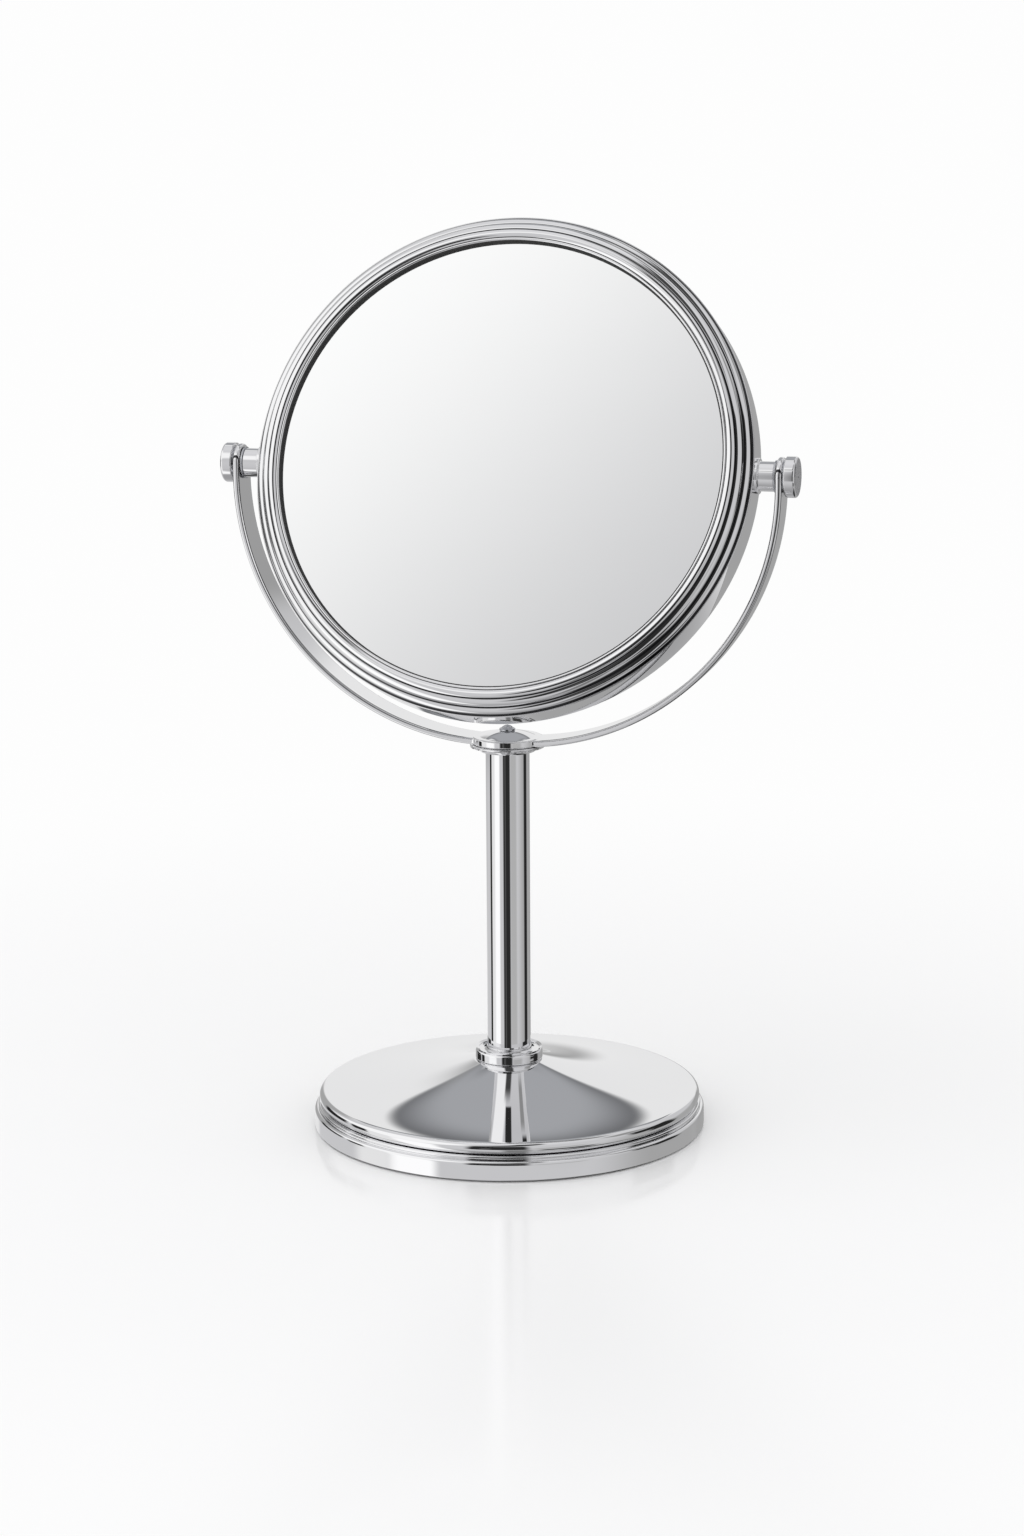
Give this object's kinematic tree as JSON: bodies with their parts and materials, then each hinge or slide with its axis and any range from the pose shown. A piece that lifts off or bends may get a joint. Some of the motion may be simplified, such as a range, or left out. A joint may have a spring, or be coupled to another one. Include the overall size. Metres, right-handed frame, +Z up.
{
  "type": "extendable shaving mirror",
  "caption": "Table-top shaving mirror: round double-sided tilting head in a swivelling C-shaped yoke on a telescopic column and a weighted round base.",
  "frame": {"origin": "on the table under the column's axis, at the underside of the foot pad", "axes": "+Z up along the column, -Y the way the plain mirror faces, +X along the head's pivot axis towards the right thumbscrew"},
  "size_m": [0.1982, 0.135, 0.3095],
  "materials": {
    "chrome": "mirror-bright chromium plating on steel and brass",
    "knob_chrome": "chromium plating with a satin-turned end face",
    "bright_steel": "bright zinc-plated steel",
    "mirror_glass": "silvered float glass, polished",
    "iron": "raw cast iron",
    "brass": "plain turned brass",
    "nylon": "natural moulded nylon",
    "black_rubber": "matt black rubber",
    "cover_plastic": "fine-grained black plastic sheet",
    "grey_board": "pressed backing board",
    "foam": "closed-cell foam"
  },
  "bodies": {
    "base": {"base_shell": "chrome", "base_weight": "iron", "base_cover": "cover_plastic", "cover_screws": "bright_steel", "foot_pad": "black_rubber", "base_collar": "chrome", "tie_bolt": "bright_steel", "tie_washer": "bright_steel", "column_foot": "chrome", "outer_tube": "chrome", "tube_guide_bush": "nylon"},
    "slider_guide": {"guide_ring": "nylon", "friction_spring": "bright_steel"},
    "stem": {"inner_tube": "chrome", "slider_end_plug": "nylon", "retaining_clip": "bright_steel", "top_insert": "brass", "saddle_dish": "chrome", "yoke": "chrome", "clamp_dome": "chrome", "yoke_screw": "bright_steel", "left_eye_bush": "nylon", "right_eye_bush": "nylon", "left_outer_washer": "bright_steel", "right_outer_washer": "bright_steel"},
    "head": {"rim_band": "chrome", "front_bezel": "chrome", "rear_bezel": "chrome", "front_gasket": "black_rubber", "rear_gasket": "black_rubber", "plain_mirror": "mirror_glass", "magnifying_mirror": "mirror_glass", "backing_board": "grey_board", "foam_spacer": "foam", "left_pivot_boss": "brass", "right_pivot_boss": "brass", "left_spacer_sleeve": "chrome", "right_spacer_sleeve": "chrome", "left_inner_washer": "bright_steel", "right_inner_washer": "bright_steel"},
    "left_thumbscrew": {"left_knob": "knob_chrome", "left_pivot_screw": "bright_steel"},
    "right_thumbscrew": {"right_knob": "knob_chrome", "right_pivot_screw": "bright_steel"}
  },
  "joints": [
    {"name": "column_extension", "type": "slide", "parent": "base", "child": "slider_guide", "axis": [0, 0, 1], "range_m": [0, 0.072]},
    {"name": "stem_swivel", "type": "hinge", "parent": "slider_guide", "child": "stem", "pos_m": [0, 0, 0.13], "axis": [0, 0, 1], "continuous": true},
    {"name": "head_tilt", "type": "hinge", "parent": "stem", "child": "head", "pos_m": [0, 0, 0.2274], "axis": [1, 0, 0], "continuous": true},
    {"name": "left_thumbscrew_turn", "type": "hinge", "parent": "head", "child": "left_thumbscrew", "pos_m": [-0.094, 0, 0.2274], "axis": [-1, 0, 0], "range_deg": [0, 90]},
    {"name": "right_thumbscrew_turn", "type": "hinge", "parent": "head", "child": "right_thumbscrew", "pos_m": [0.094, 0, 0.2274], "axis": [1, 0, 0], "range_deg": [0, 90]}
  ]
}
